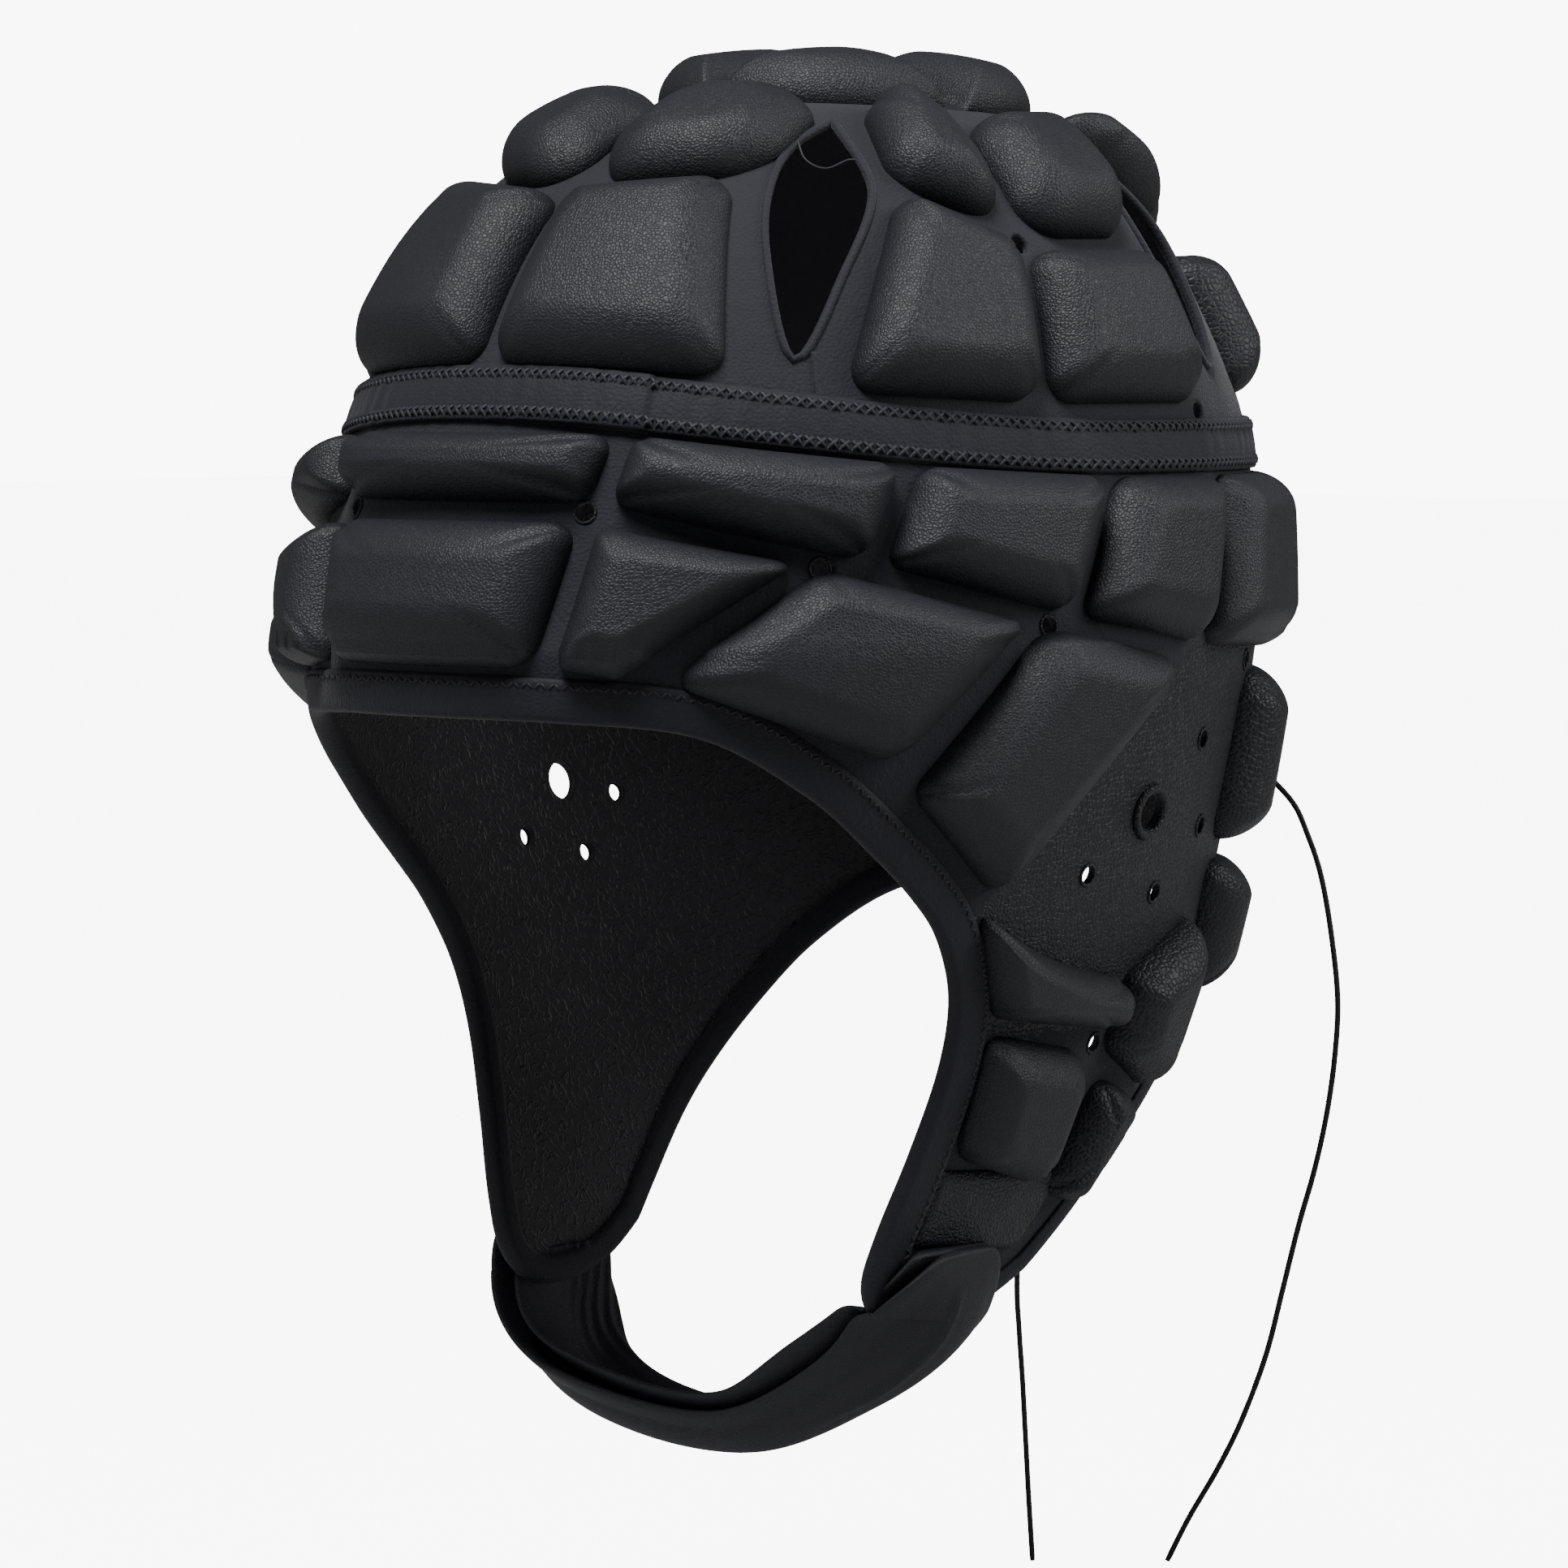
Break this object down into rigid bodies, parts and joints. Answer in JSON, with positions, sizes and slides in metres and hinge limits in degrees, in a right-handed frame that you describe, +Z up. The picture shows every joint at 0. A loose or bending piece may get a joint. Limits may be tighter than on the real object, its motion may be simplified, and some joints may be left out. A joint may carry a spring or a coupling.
{
  "type": "goalkeeper headgear",
  "caption": "Padded soft cap for a goalkeeper's head: raised foam cells on cloth, open face, ear holes, slits in the crown, a chin strap and a laced back, in its worn shape.",
  "frame": {"origin": "inside of the crown's top, on the head's middle plane, where the wearer's head carries the cap", "axes": "+Z up, out through the crown; the face opening looks along -Y; +X to the wearer's left"},
  "size_m": [0.172, 0.2299, 0.3111],
  "materials": {
    "leather": "matte, finely pebbled synthetic leather over foam",
    "cloth": "matte, close-knitted cloth",
    "tape": "matte woven tape, slightly bluish",
    "cord": "black round lace"
  },
  "bodies": {
    "root": {"crown_panel": "cloth", "lower_panel": "cloth", "seam_tape": "tape", "edge_binding": "tape", "chin_strap_inner": "tape", "chin_strap_outer": "tape", "back_lace": "cord", "lace_end_left": "cord", "lace_end_right": "cord", "top_pads": "leather", "nape_crown_pad": "leather", "nape_brow_pad": "leather", "front_brow_pad": "leather", "front_band_pad": "leather", "front_crown_pad_left": "leather", "front_crown_pad_right": "leather", "temple_crown_pad_left": "leather", "temple_crown_pad_right": "leather", "side_crown_pad_left": "leather", "side_crown_pad_right": "leather", "rear_crown_pad_left": "leather", "rear_crown_pad_right": "leather", "front_leaf_pad_left": "leather", "front_leaf_pad_right": "leather", "temple_leaf_pad_left": "leather", "temple_leaf_pad_right": "leather", "side_leaf_pad_left": "leather", "side_leaf_pad_right": "leather", "rear_leaf_pad_left": "leather", "rear_leaf_pad_right": "leather", "back_leaf_pad_left": "leather", "back_leaf_pad_right": "leather", "temple_brow_pad_left": "leather", "temple_brow_pad_right": "leather", "side_brow_pad_left": "leather", "side_brow_pad_right": "leather", "ear_brow_pad_left": "leather", "ear_brow_pad_right": "leather", "rear_brow_pad_left": "leather", "rear_brow_pad_right": "leather", "back_brow_pad_left": "leather", "back_brow_pad_right": "leather", "front_cheekbone_pad_left": "leather", "front_cheekbone_pad_right": "leather", "side_cheekbone_pad_left": "leather", "side_cheekbone_pad_right": "leather", "ear_cheekbone_pad_left": "leather", "ear_cheekbone_pad_right": "leather", "ear_back_pad_left": "leather", "ear_back_pad_right": "leather", "neck_back_pad_left": "leather", "neck_back_pad_right": "leather", "upper_cheek_pad_left": "leather", "upper_cheek_pad_right": "leather", "rear_cheek_pad_left": "leather", "rear_cheek_pad_right": "leather", "lower_cheek_pad_left": "leather", "lower_cheek_pad_right": "leather", "end_cheek_pad_left": "leather", "end_cheek_pad_right": "leather"}
  },
  "joints": []
}
